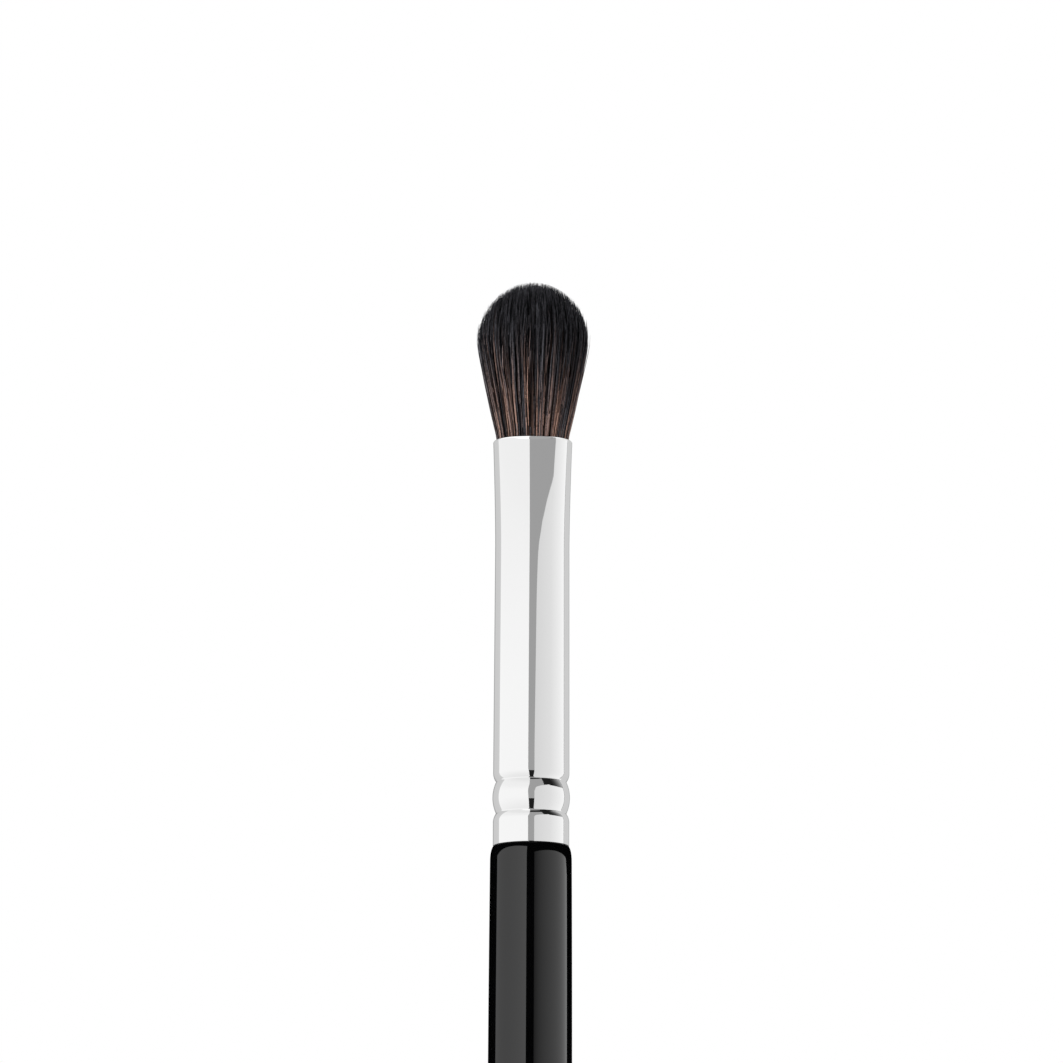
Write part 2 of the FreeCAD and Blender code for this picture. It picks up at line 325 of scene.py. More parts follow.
# %% [markdown]
# ## Black lacquer
# The wooden handle is dipped in black lacquer and polished. On the real brush the coat runs over the shoulder
# in a soft round, swells slowly to the grip and tapers to a round end. The outline is turned about the axis:
# a quarter ellipse, a bent line, a straight grip, a long arc and the arc of the end. The coat is a shell, so
# the same outline, moved inwards, closes it from inside.

# %% Sizes of the handle, in millimetres
shoulder_radius = 4.05
shoulder_round_width = 0.4
shoulder_round_height = 1.5
grip_radius = 4.15
grip_length = 12.0
grip_below_shoulder = 36.0
end_radius = 2.8
coat_thickness = 0.15
handle_length = foot_height - end_height
print("handle %.1f mm long below the tube" % handle_length)


# %% Outline of the handle
round_count = 16
swell_count = 16
taper_arc_count = 40
end_count = 14


def handle_outline(inset):
    """Radius and height of the handle's outline, from the tube down to the end, moved inwards by an inset.

    A quarter ellipse, a curve that nears the grip by a square, an arc that leaves the grip in line, and the
    arc of the end. These arcs meet in line because their centres lie the difference of their radii apart.
    """
    round_angle = np.linspace(math.pi / 2, 0, round_count)
    rounded = np.stack([
        shoulder_radius - shoulder_round_width + (shoulder_round_width - inset) * np.cos(round_angle),
        -shoulder_round_height + (shoulder_round_height - inset) * np.sin(round_angle)], axis=-1)
    grip_top = -grip_below_shoulder + grip_length / 2
    swell_share = np.linspace(0, 1, swell_count)[1:]
    swell = np.stack([
        grip_radius - inset - (grip_radius - shoulder_radius) * (1 - swell_share) ** 2,
        -shoulder_round_height + (grip_top + shoulder_round_height) * swell_share], axis=-1)
    end_centre = -handle_length + end_radius
    drop = grip_top - grip_length - end_centre
    taper_radius = (grip_radius ** 2 + drop ** 2 - end_radius ** 2) / (2 * (grip_radius - end_radius))
    taper_centre = (grip_radius - taper_radius, grip_top - grip_length)
    taper_angle = math.atan2(-drop, -taper_centre[0])
    tapered = arc_points(taper_centre, taper_radius - inset, 0, taper_angle, taper_arc_count)
    rounded_end = arc_points((0.0, end_centre), end_radius - inset, taper_angle, -math.pi / 2, end_count)
    return np.concatenate([rounded, swell, tapered, rounded_end[1:-1]])


def turned_skin(outline, first_pole, last_pole, columns):
    """Points and faces of an outline turned about the axis and closed at both ends in one point each.

    A point lies across and deep by its radius times the cosine and sine of its angle.
    """
    angle = np.linspace(0, 2 * math.pi, columns, endpoint=False)[None, :]
    radius = outline[:, :1]
    x = radius * np.cos(angle)
    y = radius * np.sin(angle)
    ring = np.stack(np.broadcast_arrays(x, y, outline[:, 1:]), axis=-1)
    points = np.concatenate([ring.reshape(-1, 3), [[0, 0, first_pole], [0, 0, last_pole]]])
    column = np.arange(columns)
    next_column = (column + 1) % columns
    first = np.full(columns, len(points) - 2)
    last = np.full(columns, len(points) - 1)
    start = (len(outline) - 1) * columns
    first_fan = np.stack([first, next_column, column], axis=-1)
    last_fan = np.stack([last, start + column, start + next_column], axis=-1)
    walls = grid_faces(len(outline), columns, closed_rows=False)
    return points, walls.tolist() + first_fan.tolist() + last_fan.tolist()


# %% [markdown]
# ## Dipped gloss
# Black lacquer hides the wood completely, so all that the eye gets is its shine: four percent of the light
# straight on and much more at the edges. Dipping leaves a very slight wave in the skin, and handling leaves
# the gloss a little uneven.

# %% Lacquer material
lacquer_colours = ("#020202", "#050506")
lacquer_roughness = (0.03, 0.06)
dip_wave_mm = 2.5
dip_wave_depth_mm = 0.01
dip_wave_strength = 0.05
handling_mm = 6.0

lacquer, tree, shader = new_material("dipped_black_lacquer", {"IOR": 1.5})
coordinates = add_node(tree, "ShaderNodeTexCoord")
handling = add_node(tree, "ShaderNodeTexNoise", {"Scale": 1 / (handling_mm * MM), "Detail": 3.0},
                    {"Vector": coordinates.outputs["Object"]})
tint = add_node(tree, "ShaderNodeMix", {
    "data_type": "RGBA", 6: linear_colour(lacquer_colours[0]), 7: linear_colour(lacquer_colours[1])},
    {0: handling.outputs["Fac"]})
gloss = add_node(tree, "ShaderNodeMapRange", {"To Min": lacquer_roughness[0], "To Max": lacquer_roughness[1]},
                 {"Value": handling.outputs["Fac"]})
wave = add_node(tree, "ShaderNodeTexNoise", {"Scale": 1 / (dip_wave_mm * MM), "Detail": 0.0},
                {"Vector": coordinates.outputs["Object"]})
skin = add_node(tree, "ShaderNodeBump", {
    "Strength": dip_wave_strength, "Distance": dip_wave_depth_mm * MM}, {"Height": wave.outputs["Fac"]})
tree.links.new(tint.outputs[2], shader.inputs["Base Color"])
tree.links.new(gloss.outputs["Result"], shader.inputs["Roughness"])
tree.links.new(skin.outputs["Normal"], shader.inputs["Normal"])

# %% The lacquer as a piece
coat_columns = 160
outside = handle_outline(0)[::-1]
inside = handle_outline(coat_thickness)
rim = np.array([[bore_radius, 0.0], [bore_radius, -coat_thickness]])
coat_outline = np.concatenate([outside, rim, inside]) + [0, foot_height]
coat_points, coat_faces = turned_skin(coat_outline, end_height, end_height + coat_thickness, coat_columns)
coat = add_piece("lacquer_skin", coat_points, coat_faces, lacquer)
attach(coat, "root")
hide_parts("lacquer_coat")

# %% [markdown]
# ## Hair
# A tuft is several thousand hairs, tied, set and cupped by hand into a dome. They lie in small locks. A
# painted lump can't show the soft edge or the dark gaps between the hairs, and a particle system wouldn't be
# kept as a mesh. So each hair is a thin three-sided tube along its own path, and all of them are worked out
# together as one array: hairs, steps along the hair, and sides. A real hair is finer than a pixel of the
# picture, so a tube is drawn coarser, as thick as two hairs that cling together.
#
# A hair's place in the tuft is a point of the unit disc. At any height the disc is stretched to the tuft's
# width and depth there. Hairs on the outside end lower than those in the middle, which makes the dome.

# %% Sizes of the tuft, in millimetres
hair_clearance = 0.08
root_half_width = mouth_half_width - wall - hair_clearance
root_half_depth = mouth_half_depth - wall - hair_clearance
tuft_half_width = 5.58
tuft_half_depth = 4.6
widest_above_mouth = 10.1
flare_power = 1.25
dome_length = tip_height - mouth_height - widest_above_mouth
root_depth = 1.5
inward_bend = 0.25
hair_radius = 0.062
hair_tip_radius = 0.009
tip_unevenness = 0.22
tip_mean_fall = 0.1
tip_most_rise = 0.15
short_hair_share = 0.06
short_hair_fall = 2.0
stray_hair_share = 0.4
stray_reach_share = 0.05
stray_power = 4
steps_along = 13
sides = 3
print("tuft %.2f mm wide and its dome %.2f mm high" % (2 * tuft_half_width, dome_length))


# %% Outline of the tuft
def tuft_half_sizes(height):
    """Half width and half depth of the tuft at a height above the mouth.

    Inside the tube they stay as at the mouth. Outside they grow as one less a power of what is left to the
    widest place, and above it they draw in with the square of the height in the dome.
    """
    share = np.clip(height / widest_above_mouth, 0, 1)
    spread = 1 - (1 - share) ** flare_power
    bend = 1 - inward_bend * np.clip((height - widest_above_mouth) / dome_length, 0, 1) ** 2
    half_width = (root_half_width + (tuft_half_width - root_half_width) * spread) * bend
    half_depth = (root_half_depth + (tuft_half_depth - root_half_depth) * spread) * bend
    return half_width, half_depth


def dome_share(disc_radius):
    """Share of the dome's height at which a hair at that radius of the disc meets the dome's outline.

    The hair lies at its radius times one less the bend times the share squared, and the outline at the root
    of one less the share squared. Setting them equal gives a quadratic in the share squared.
    """
    never_zero = 1e-9
    squared = (disc_radius * inward_bend) ** 2 + never_zero
    linear = 1 - 2 * disc_radius ** 2 * inward_bend
    rest = disc_radius ** 2 - 1
    return np.sqrt(np.clip((np.sqrt(linear ** 2 - 4 * squared * rest) - linear) / (2 * squared), 0, 1))


# %% Places of locks and hairs, as shares of the disc's radius
lock_count = 1100
hairs_per_lock = 6
lock_jitter_share = 0.015
lock_spread_share = 0.035
disc_edge_share = 0.99
hair_seed = 7

random = np.random.default_rng(hair_seed)
# The locks lie on a sunflower's spiral, each one golden angle further round, which spaces them evenly.
golden_angle = math.pi * (3 - math.sqrt(5))
lock = np.arange(lock_count)
lock_radius = np.sqrt((lock + 0.5) / lock_count)
lock_angle = lock * golden_angle
lock_place = np.stack([lock_radius * np.cos(lock_angle), lock_radius * np.sin(lock_angle)], axis=-1)
lock_place += random.normal(0, lock_jitter_share, lock_place.shape)
hair_lock = np.repeat(lock, hairs_per_lock)
hair_count = len(hair_lock)
hair_place = lock_place[hair_lock] + random.normal(0, lock_spread_share, (hair_count, 2))
# A hair that falls outside the disc is folded back over its edge.
from_middle = np.linalg.norm(hair_place, axis=1, keepdims=True)
hair_place *= np.where(from_middle > disc_edge_share, 2 * disc_edge_share / from_middle - 1, 1)
disc_radius = np.linalg.norm(hair_place, axis=1)
print(hair_count, "hairs in", lock_count, "locks")

# %% [markdown]
# A hair doesn't rise straight. It gathers with its lock half way up, sways with it, and swings and drifts a
# little by itself. All of that is a wander on the disc. Near the disc's edge the wander is pressed back
# smoothly, as the cupped surface of a real tuft is, so that the sides stay clean while the tips stay soft.

# %% Wander on the disc: hairs by steps by two coordinates
lock_gather_share = 0.55
gather_power = 0.7
lock_sway_share = 0.035
lock_turn_span = (0.3, 0.9)
hair_swing_share = 0.022
hair_turn_span = (0.6, 3.2)
hair_drift_share = 0.03
pressed_from_share = 0.9

along = np.linspace(0, 1, steps_along)[None, :, None]
lock_phase = (random.random((lock_count, 1, 2)) * 2 * math.pi)[hair_lock]
lock_turns = random.uniform(*lock_turn_span, (lock_count, 1, 1))[hair_lock]
hair_phase = random.random((hair_count, 1, 2)) * 2 * math.pi
hair_turns = random.uniform(*hair_turn_span, (hair_count, 1, 1))
swing = hair_swing_share * random.random((hair_count, 1, 1))
drift = random.normal(0, hair_drift_share, (hair_count, 1, 2))
gather = lock_gather_share * np.sin(math.pi * along) ** gather_power
wander = (drift + lock_sway_share * np.sin(lock_turns * 2 * math.pi * along + lock_phase)
          + swing * np.sin(hair_turns * 2 * math.pi * along + hair_phase)) * along
place = hair_place[:, None] + (lock_place[hair_lock] - hair_place)[:, None] * gather + wander
from_axis = np.linalg.norm(place, axis=-1, keepdims=True)
room = 1 - pressed_from_share
pressed_back = pressed_from_share + room * np.tanh((from_axis - pressed_from_share) / room)
place = place * np.where(from_axis > pressed_from_share, pressed_back / from_axis, 1)
print("hairs keep within %.2f of the disc" % np.linalg.norm(place, axis=-1).max())

# %% Paths in millimetres
stray_seed = 11
is_short = random.random(hair_count) < short_hair_share
tip_fall = random.normal(tip_mean_fall, tip_unevenness, hair_count)
tip_fall = np.maximum(tip_fall, -tip_most_rise) + short_hair_fall * is_short * random.random(hair_count)
tip_place = np.linalg.norm(place[:, -1], axis=-1)
hair_top = widest_above_mouth + dome_length * dome_share(tip_place) - tip_fall
# Some hairs stand a little out of the dome towards their tips, which makes its rim soft.
stray_random = np.random.default_rng(stray_seed)
stray_reach = stray_reach_share * stray_random.random(hair_count)
stray = stray_reach * (stray_random.random(hair_count) < stray_hair_share)
place = place * (1 + stray[:, None, None] * along ** stray_power)
height = -root_depth + (hair_top + root_depth)[:, None] * along[..., 0]
half_width, half_depth = tuft_half_sizes(height)
path = np.stack([place[..., 0] * half_width, place[..., 1] * half_depth, height + mouth_height], axis=-1)
print("hair tips reach %.2f mm, and the sides %.2f mm" % (path[..., 2].max(), np.abs(path[..., 0]).max()))


# %% Tubes round the paths
def hair_tubes(path, radius):
    """Points of thin tubes: each step's point, moved by its radius in directions square to the hair."""
    tangent = np.gradient(path, axis=1)
    tangent /= np.linalg.norm(tangent, axis=-1, keepdims=True)
    across = np.cross(tangent, np.array([0.0, 1.0, 0.0]))
    across /= np.linalg.norm(across, axis=-1, keepdims=True)
    deep = np.cross(tangent, across)
    angle = np.arange(sides) * 2 * math.pi / sides
    ring = across[:, :, None, :] * np.cos(angle)[:, None] + deep[:, :, None, :] * np.sin(angle)[:, None]
    return path[:, :, None, :] + ring * radius[:, :, None, None]


def hair_faces(count):
    """Faces of closed tubes: quads between the steps, and a triangle at each end."""
    one = grid_faces(steps_along, sides, closed_rows=False)
    first = np.arange(count)[:, None, None] * steps_along * sides
    side = np.arange(sides)
    quads = (one[None] + first).reshape(-1, 4)
    root_end = (side[::-1][None] + first[:, 0]).reshape(-1, sides)
    tip_end = (side[None] + (steps_along - 1) * sides + first[:, 0]).reshape(-1, sides)
    return quads.tolist() + root_end.tolist() + tip_end.tolist()


def hair_sheet(count):
    """Places of the faces' corners on a flat sheet, in the order of the faces.

    The sheet is a square of cells, one for each hair. In its cell a hair's sides lie next to each other and
    its length runs upwards, with the two end faces in a strip below and a strip above.
    """
    margin = 0.05
    cells = math.ceil(math.sqrt(count))
    corner = np.stack([np.arange(count) % cells, np.arange(count) // cells], axis=-1)
    left, low = np.meshgrid(np.arange(sides) / sides, np.arange(steps_along - 1) / (steps_along - 1))
    right, high = left + 1 / sides, low + 1 / (steps_along - 1)
    walls = np.stack([np.stack([left, right, right, left], -1), np.stack([low, low, high, high], -1)], -1)
    walls = margin + (1 - 2 * margin) * walls.reshape(-1, 2)
    root_end = np.array([[0.1, 0.01], [0.9, 0.01], [0.5, 0.04]])
    tip_end = np.array([[0.1, 0.96], [0.9, 0.96], [0.5, 0.99]])
    placed = [(corner[:, None] + local) / cells for local in (walls, root_end, tip_end)]
    return np.concatenate([corners.reshape(-1, 2) for corners in placed])


# %% [markdown]
# ## Colour of the hair
# Dyed goat hair is soft and has little gloss. It is near black with a bluish cast towards the tips and brown
# to grey-brown near the tube, hair by hair, and palest at the tube. Each point of a hair carries three
# numbers: how brown the hair is, a random shade of its own times a painted shade that darkens it deeper
# inside the tuft, and how far along the hair it lies. The material mixes the colours from these, so the
# pattern follows every hair. The shade also picks a row of a noise pattern that runs along the hair, which
# gives it paler and darker stretches of a millimetre or two.

# %% Hair material
hair_dark = ("#010102", "#78787f")
hair_brown = ("#120a08", "#dfb29f")
hair_roughness = 0.5
hair_gloss = 0.03
fleck_mm = 1.4
fleck_span = (0.25, 0.75)
fleck_tones = (0.45, 1.55)
brown_fade_way = (0.1, 0.7)
pale_root_way = (0.05, 0.36)
pale_root_tones = (1.55, 0.84)
hair_rows = 400.0
tuft_length = widest_above_mouth + dome_length

hair, tree, shader = new_material("dyed_goat_hair", {
    "Roughness": hair_roughness, "Specular IOR Level": hair_gloss})
strand = add_node(tree, "ShaderNodeAttribute", {"attribute_name": "strand"})
parts = add_node(tree, "ShaderNodeSeparateXYZ", links={"Vector": strand.outputs["Vector"]})
# The shade number is the hair's own random tone times the painted shade of its depth in the tuft.
brownness, shade, way = parts.outputs
stretch = add_node(tree, "ShaderNodeVectorMath", {
    "operation": "MULTIPLY", 1: (0.0, hair_rows, tuft_length / fleck_mm)}, {0: strand.outputs["Vector"]})
flecks = add_node(tree, "ShaderNodeTexNoise", {"Scale": 1.0, "Detail": 1.0},
                  {"Vector": stretch.outputs["Vector"]})
uneven = add_node(tree, "ShaderNodeMapRange", {
    "From Min": fleck_span[0], "From Max": fleck_span[1],
    "To Min": fleck_tones[0], "To Max": fleck_tones[1]}, {"Value": flecks.outputs["Fac"]})
paling = add_node(tree, "ShaderNodeMapRange", {
    "From Min": pale_root_way[0], "From Max": pale_root_way[1],
    "To Min": pale_root_tones[0], "To Max": pale_root_tones[1]}, {"Value": way})
toned = add_node(tree, "ShaderNodeMath", {"operation": "MULTIPLY"},
                 {0: shade, 1: paling.outputs["Result"]})
light = add_node(tree, "ShaderNodeMath", {"operation": "MULTIPLY"},
                 {0: toned.outputs[0], 1: uneven.outputs["Result"]})
fading = add_node(tree, "ShaderNodeMapRange", {
    "interpolation_type": "SMOOTHSTEP", "From Min": brown_fade_way[0], "From Max": brown_fade_way[1],
    "To Min": 1.0, "To Max": 0.0}, {"Value": way})
share = add_node(tree, "ShaderNodeMath", {"operation": "MULTIPLY"},
                 {0: brownness, 1: fading.outputs["Result"]})
dark = add_node(tree, "ShaderNodeMix", {
    "data_type": "RGBA", 6: linear_colour(hair_dark[0]), 7: linear_colour(hair_dark[1])},
    {0: light.outputs[0]})
brown = add_node(tree, "ShaderNodeMix", {
    "data_type": "RGBA", 6: linear_colour(hair_brown[0]), 7: linear_colour(hair_brown[1])},
    {0: light.outputs[0]})
colour = add_node(tree, "ShaderNodeMix", {"data_type": "RGBA"},
                  {0: share.outputs[0], 6: dark.outputs[2], 7: brown.outputs[2]})
tree.links.new(colour.outputs[2], shader.inputs["Base Color"])

# %% Numbers that each hair carries
black_lock_share = 0.3
black_lock_brownness = 0.05
brown_lock_span = (0.4, 1.0)
brownness_unevenness = 0.28
brown_reach_unevenness = 0.1
own_shade_share = 0.9
shade_power = 2.1

is_black = random.random(lock_count) < black_lock_share
lock_brownness = np.where(is_black, black_lock_brownness, random.uniform(*brown_lock_span, lock_count))
own_brownness = random.normal(0, brownness_unevenness, hair_count)
hair_brownness = np.clip(lock_brownness[hair_lock] + own_brownness, 0, 1)
lock_shade = random.random(lock_count)[hair_lock]
mixed_shade = lock_shade * (1 - own_shade_share) + random.random(hair_count) * own_shade_share
hair_shade = mixed_shade ** shade_power
brown_reach = random.normal(0, brown_reach_unevenness, lock_count)[hair_lock][:, None]
way_up = np.clip(height / tuft_length, 0, 1) - brown_reach
print(is_black.sum(), "locks are black, and the mean brownness is %.2f" % hair_brownness.mean())

# %% [markdown]
# Light that gets in between the hairs is soon lost. The renderer's few bounces show that only in part, so a
# hair's colour is also darkened with its depth, a painted shade: how far the point lies inside the outline,
# as a share of the tuft's radius. That keeps the gaps between the outer hairs dark.

# %% Depth in the tuft
lit_depth_shares = (0.02, 0.13)
deep_shade = 0.12
in_dome = np.clip((height - widest_above_mouth) / dome_length, 0, 1)
bend_here = 1 - inward_bend * in_dome ** 2
depth = 1 - np.sqrt((np.linalg.norm(place, axis=-1) * bend_here) ** 2 + in_dome ** 2)
lit_share = np.interp(depth, lit_depth_shares, (1.0, deep_shade))
# The painted depth shade multiplies the hair's own shade in the numbers that each point carries.
strand_numbers = np.stack(np.broadcast_arrays(
    hair_brownness[:, None, None], (hair_shade[:, None] * lit_share)[..., None], way_up[..., None],
    np.ones((1, 1, sides))), axis=-1)
print("%.0f percent of the steps are fully lit" % (100 * (lit_share == 1).mean()))

# %% The hair as pieces, from the middle of the tuft to its surface
taper_power = 4
thickness_span = (0.65, 1.2)
thickness = random.uniform(*thickness_span, (hair_count, 1))
taper = 1 - along[..., 0] ** taper_power
radius = (hair_tip_radius + (hair_radius - hair_tip_radius) * taper) * thickness
tubes = hair_tubes(path, radius)
by_depth = np.argsort(disc_radius)
hair_names = ("hair_inner", "hair_middle", "hair_outer", "hair_surface")
for name, chosen in zip(hair_names, np.array_split(by_depth, len(hair_names))):
    piece = add_piece(name, tubes[chosen].reshape(-1, 3), hair_faces(len(chosen)), hair)
    numbers = piece.data.color_attributes.new("strand", "FLOAT_COLOR", "POINT")
    numbers.data.foreach_set("color", strand_numbers[chosen].astype(np.float32).ravel())
    sheet = piece.data.uv_layers.new(name="OFBake")
    sheet.data.foreach_set("uv", hair_sheet(len(chosen)).astype(np.float32).ravel())
    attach(piece, "root")
    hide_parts("hair_tuft")

# %% [markdown]
# ## Pieces inside
# The tenon, the glue, the resin and the thread are hidden in the finished brush. Their solids have the right
# shape and stay, and each gets the material that it is made of, for anyone who takes the brush apart. Turned
# birch shows a fine pale grain along its length, dried adhesive a faint cloud, and poured resin an amber
# gloss with soft clouds in it. Spun cotton is matt, with fine turns across it.

# %% Birch, glue, resin and thread
inside_finishes = (
    ("handle_core", "turned_birch", ("#c9a878", "#b08a5a"), 0.55, (0.5, 0.5, 8.0)),
    ("tenon_glue", "clear_adhesive", ("#d8cfae", "#c6b98f"), 0.25, (1.0, 1.0, 1.0)),
    ("resin_plug", "amber_resin", ("#9a6a2c", "#7c4f1d"), 0.2, (1.5, 1.5, 1.5)),
    ("binding_thread", "cotton_thread", ("#d9d2c2", "#b9b09c"), 0.85, (2.0, 2.0, 0.25)),
)
grain_relief_mm = 0.05
grain_relief_strength = 0.2
for node, finish, colours, roughness, grain_mm in inside_finishes:
    material, tree, shader = new_material(finish, {"Roughness": roughness})
    coordinates = add_node(tree, "ShaderNodeTexCoord")
    grain = add_node(tree, "ShaderNodeMapping", {"Scale": [1 / (size * MM) for size in grain_mm]},
                     {"Vector": coordinates.outputs["Object"]})
    figure = add_node(tree, "ShaderNodeTexNoise", {"Scale": 1.0, "Detail": 4.0},
                      {"Vector": grain.outputs["Vector"]})
    tint = add_node(tree, "ShaderNodeMix", {
        "data_type": "RGBA", 6: linear_colour(colours[0]), 7: linear_colour(colours[1])},
        {0: figure.outputs["Fac"]})
    relief = add_node(tree, "ShaderNodeBump", {
        "Strength": grain_relief_strength, "Distance": grain_relief_mm * MM},
        {"Height": figure.outputs["Fac"]})
    tree.links.new(tint.outputs[2], shader.inputs["Base Color"])
    tree.links.new(relief.outputs["Normal"], shader.inputs["Normal"])
    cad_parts[node].data.materials.clear()
    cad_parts[node].data.materials.append(material)
    print(node, "is", finish)

# %% [markdown]
# ## Floor and background
# The brush stands on pale paper that sweeps up into a white background. The white is what the camera, mirrors
# and glass see there, and not more light on the brush: matt surfaces get only a weak fill from it.

# %% Floor
floor_size_m = 6.0
floor_fade_m = (0.35, 1.2)
paper_roughness = 0.6
paper_grain_mm = 25.0
paper_colours = ("#f0f0f0", "#eaeaea")

floor_material, tree, shader = new_material("pale_paper_floor", {
    "Roughness": paper_roughness, "Specular IOR Level": 0.0})
coordinates = add_node(tree, "ShaderNodeTexCoord")
paper = add_node(tree, "ShaderNodeTexNoise", {"Scale": 1 / (paper_grain_mm * MM)},
                 {"Vector": coordinates.outputs["Object"]})
tint = add_node(tree, "ShaderNodeMix", {
    "data_type": "RGBA", 6: linear_colour(paper_colours[0]), 7: linear_colour(paper_colours[1])},
    {0: paper.outputs["Fac"]})
tree.links.new(tint.outputs[2], shader.inputs["Base Color"])
# Further away the paper turns into the white of the background, as a sweep of paper does in a studio.
away = add_node(tree, "ShaderNodeVectorMath", {"operation": "LENGTH"}, {0: coordinates.outputs["Object"]})
fade = add_node(tree, "ShaderNodeMapRange", {
    "interpolation_type": "SMOOTHSTEP", "From Min": floor_fade_m[0], "From Max": floor_fade_m[1]},
    {"Value": away.outputs["Value"]})
ray = add_node(tree, "ShaderNodeLightPath")
white = add_node(tree, "ShaderNodeEmission", links={"Strength": ray.outputs["Is Camera Ray"]})
sweep = add_node(tree, "ShaderNodeMixShader", links={
    0: fade.outputs["Result"], 1: shader.outputs["BSDF"], 2: white.outputs["Emission"]})
tree.links.new(sweep.outputs["Shader"], tree.nodes["Material Output"].inputs["Surface"])
square = np.array([[-1, -1, 0], [1, -1, 0], [1, 1, 0], [-1, 1, 0]])
corners = square * floor_size_m / 2 / MM + [0, 0, end_height]
floor = add_piece("floor", corners, [[0, 1, 2, 3]], floor_material)
floor.visible_glossy = False

# %% Background
fill_light = 0.3
world = bpy.data.worlds.new("white_studio")
bpy.context.scene.world = world
world.use_nodes = True
tree = world.node_tree
tree.nodes.clear()
ray = add_node(tree, "ShaderNodeLightPath")
fill = add_node(tree, "ShaderNodeMath", {"operation": "MULTIPLY", 1: fill_light},
                {0: ray.outputs["Is Diffuse Ray"]})
strength = fill.outputs[0]
for kind in ("Is Camera Ray", "Is Glossy Ray", "Is Transmission Ray"):
    shown = add_node(tree, "ShaderNodeMath", {"operation": "MAXIMUM"}, {0: strength, 1: ray.outputs[kind]})
    strength = shown.outputs[0]
sky = add_node(tree, "ShaderNodeBackground", {"Color": linear_colour("#ffffff")}, {"Strength": strength})
add_node(tree, "ShaderNodeOutputWorld", links={"Surface": sky.outputs["Background"]})
print("white background with a fill of %.1f" % fill_light)

# %% [markdown]
# ## Cards round the tube
# A mirror shows the studio more than itself. A picture of a studio on the world would lie endlessly far away
# and look the same all along the tube, so the studio is built. White cards are bent round the tube to the
# left and the right, with a narrow gap in front. Through the gap the tube sees a grey wall, and under and
# beside it a black drape. A white cove with a dark streak closes the ring at the back, and small cards close
# to the lip give it its white line. A card is a patch of a cylinder about the brush's axis, given by its
# borders in azimuth and height, and its points carry the strength that it shines with.

# %% Material of the cards
glow, tree, shader = new_material("white_card", {})
card_glow = add_node(tree, "ShaderNodeAttribute", {"attribute_name": "glow"})
card = add_node(tree, "ShaderNodeEmission", links={"Strength": card_glow.outputs["Fac"]})
tree.links.new(card.outputs["Emission"], tree.nodes["Material Output"].inputs["Surface"])
tree.nodes.remove(shader)


# %% What each card or lamp lights
def receivers(name, pieces):
    """A collection of the pieces that a card or lamp lights."""
    collection = bpy.data.collections.new(name)
    for piece in pieces:
        collection.objects.link(piece)
    print(name, "holds", len(pieces), "pieces")
    return collection


hair_pieces = [bpy.data.objects[name] for name in hair_names]
inner_pieces = [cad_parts[finish[0]] for finish in inside_finishes]
round_tube = receivers("round_tube", [tube])
hair_only = receivers("hair_only", hair_pieces)
beside_flags = receivers("beside_flags", [coat])
in_the_room = receivers("in_the_room", [floor, *inner_pieces])


# %% How a card is made
def add_card(name, distance, azimuth, height, strength, lit):
    """Card bent round the brush's axis: azimuth from the camera in degrees, height in millimetres.

    Its points lie across and in front by the distance times the sine and cosine of the azimuth. Only a
    mirror sees it: the camera, shadows and matt surfaces don't.
    """
    azimuth, height, strength = np.broadcast_arrays(azimuth, height, strength)
    turn = np.radians(azimuth)
    points = np.stack([distance * np.sin(turn), -distance * np.cos(turn), height], axis=-1)
    rows, columns = azimuth.shape
    faces = grid_faces(rows, columns, closed_rows=False).reshape(rows - 1, columns, 4)[:, :-1].reshape(-1, 4)
    card = add_piece(name, points.reshape(-1, 3), faces.tolist(), glow)
    numbers = card.data.attributes.new("glow", "FLOAT", "POINT")
    numbers.data.foreach_set("value", strength.astype(np.float32).ravel())
    card.visible_camera = False
    card.visible_shadow = False
    card.visible_diffuse = False
    card.light_linking.receiver_collection = lit


# %% White cards left and right of the tube
card_distance = 94.0
low_card_distance = 78.0
tall_card_distance = 400.0
card_bottom = -160.0
card_top = 600.0
tall_card_bottom = -600.0
left_border = -112.0
right_border = 116.5
low_card_span = (9.2, 61.2)
card_overlap = 0.7
card_rows = 121
card_columns = 61
up = np.linspace(0, 1, card_rows)[:, None]
over = np.linspace(0, 1, card_columns)[None, :]

# Each table has two rows: heights or azimuths, and the border or strength there.
gap_table = ((8, 60, 77, 94, 105), (-7.0, -9.3, -8.7, -7.2, -5.6))
left_table = ((-160, -20, 40, 70, 95, 110, 150), (1.2, 1.35, 1.5, 1.5, 1.4, 1.4, 1.28))
right_table = ((9, 60, 110), (1.07, 1.2, 1.47))
low_top_table = ((9.2, 13.8, 17.2, 22, 29, 40, 48, 55, 61), (58, 75, 79.3, 81.6, 85, 87.4, 88.4, 88.9, 89.6))
tall_top_table = ((61, 68, 77, 94, 104, 116), (278, 268, 252, 222, 206, 186))

full_height = card_bottom + (card_top - card_bottom) * up
gap_border = np.interp(full_height, *gap_table)
add_card("left_card", card_distance, left_border + (gap_border - left_border) * over, full_height,
         np.interp(full_height, *left_table), round_tube)
low_azimuth = low_card_span[0] + (low_card_span[1] - low_card_span[0]) * over
low_top = np.interp(low_azimuth, *low_top_table)
add_card("right_low_card", low_card_distance, low_azimuth, card_bottom + (low_top - card_bottom) * up,
         np.interp(low_azimuth, *right_table), round_tube)
tall_azimuth = low_card_span[1] - card_overlap + (right_border - low_card_span[1] + card_overlap) * over
tall_top = np.interp(tall_azimuth, *tall_top_table)
tall_height = tall_card_bottom + (tall_top - tall_card_bottom) * up
add_card("right_tall_card", tall_card_distance, tall_azimuth, tall_height,
         np.interp(tall_azimuth, *right_table), round_tube)

